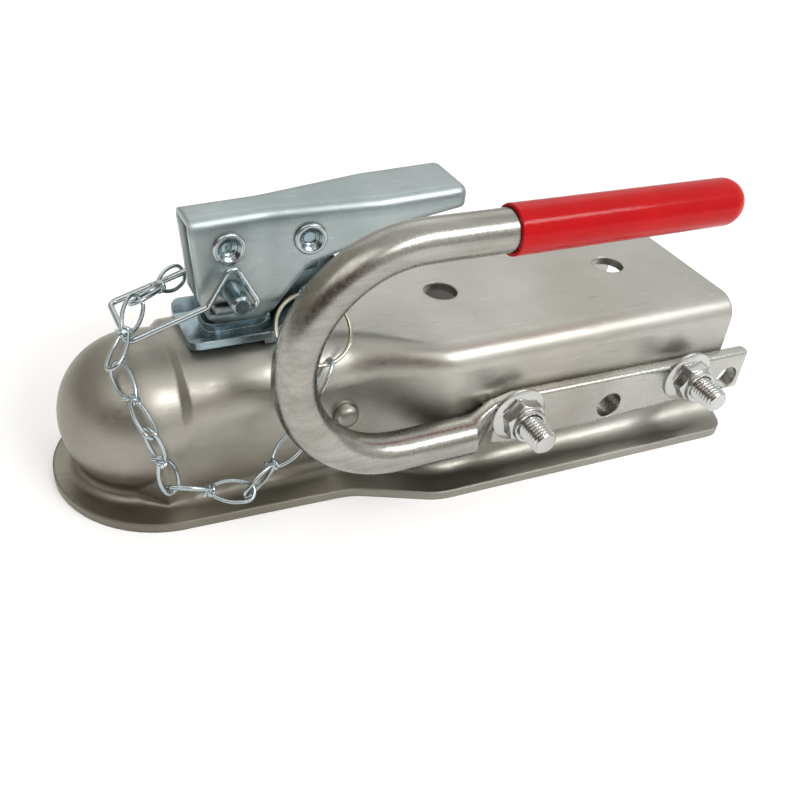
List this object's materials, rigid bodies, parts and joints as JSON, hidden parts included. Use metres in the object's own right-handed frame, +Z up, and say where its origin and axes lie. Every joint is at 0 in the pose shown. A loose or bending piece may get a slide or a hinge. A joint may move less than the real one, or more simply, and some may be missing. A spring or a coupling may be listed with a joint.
{
  "type": "trailer ball coupler",
  "caption": "Pressed steel ball coupler for a straight trailer tongue, with a lever latch, a safety pin on a chain and a bent-rod lifting handle with a dipped grip.",
  "frame": {"origin": "centre of the tow ball that the socket takes", "axes": "+X runs back along the trailer tongue, +Z is up, the handle is on the -Y side"},
  "size_m": [0.2787, 0.1266, 0.1161],
  "materials": {
    "zinc_body": "satin zinc plate, slightly worn",
    "zinc_lever": "bluish zinc plate",
    "bright_zinc": "bright zinc plate",
    "yellow_zinc": "yellow passivated zinc plate",
    "spring_steel": "oiled spring wire",
    "cast_jaw": "as cast, phosphated",
    "red_vinyl": "gloss dipped vinyl"
  },
  "bodies": {
    "coupler": {"coupler_body": "zinc_body", "saddle_plate": "zinc_lever", "clamp_pivot_pin": "zinc_body", "handle_rod": "bright_zinc", "handle_grip": "red_vinyl", "side_bolts": "bright_zinc", "flange_nuts": "bright_zinc", "clamp_spring": "spring_steel", "chain_lower_links": "bright_zinc", "split_ring": "yellow_zinc"},
    "draw": {"draw_rod": "zinc_lever", "draw_washer": "bright_zinc", "draw_locknut": "bright_zinc"},
    "lever": {"latch_lever": "zinc_lever", "front_rivet": "zinc_lever", "rear_rivet": "zinc_lever", "safety_pin": "bright_zinc"},
    "trigger": {"trigger": "zinc_lever"},
    "bail": {"pin_bail": "bright_zinc", "chain_upper_links": "bright_zinc"},
    "jaw": {"ball_clamp": "cast_jaw"}
  },
  "joints": [
    {"name": "draw_slide", "type": "slide", "parent": "coupler", "child": "draw", "axis": [0, 0, -1], "range_m": [0, 0.00429]},
    {"name": "lever_hinge", "type": "hinge", "parent": "draw", "child": "lever", "pos_m": [0.0299, 0, 0.0642], "axis": [0, -1, 0], "range_deg": [0, 50]},
    {"name": "trigger_hinge", "type": "hinge", "parent": "lever", "child": "trigger", "pos_m": [0.0581, 0, 0.0653], "axis": [0, 1, 0], "range_deg": [0, 2.5]},
    {"name": "bail_hinge", "type": "hinge", "parent": "lever", "child": "bail", "pos_m": [0.0306, 0, 0.0488], "axis": [0, -1, 0], "range_deg": [-50, 0]},
    {"name": "jaw_hinge", "type": "hinge", "parent": "coupler", "child": "jaw", "pos_m": [0.068, 0, 0.001], "axis": [0, -1, 0], "range_deg": [0, 6.6]}
  ],
  "couplings": [
    {"joint": "draw_slide", "follows": "lever_hinge", "m_per_rad": 0.004911},
    {"joint": "bail_hinge", "follows": "lever_hinge", "ratio": -1},
    {"joint": "jaw_hinge", "follows": "lever_hinge", "ratio": 0.1315}
  ]
}
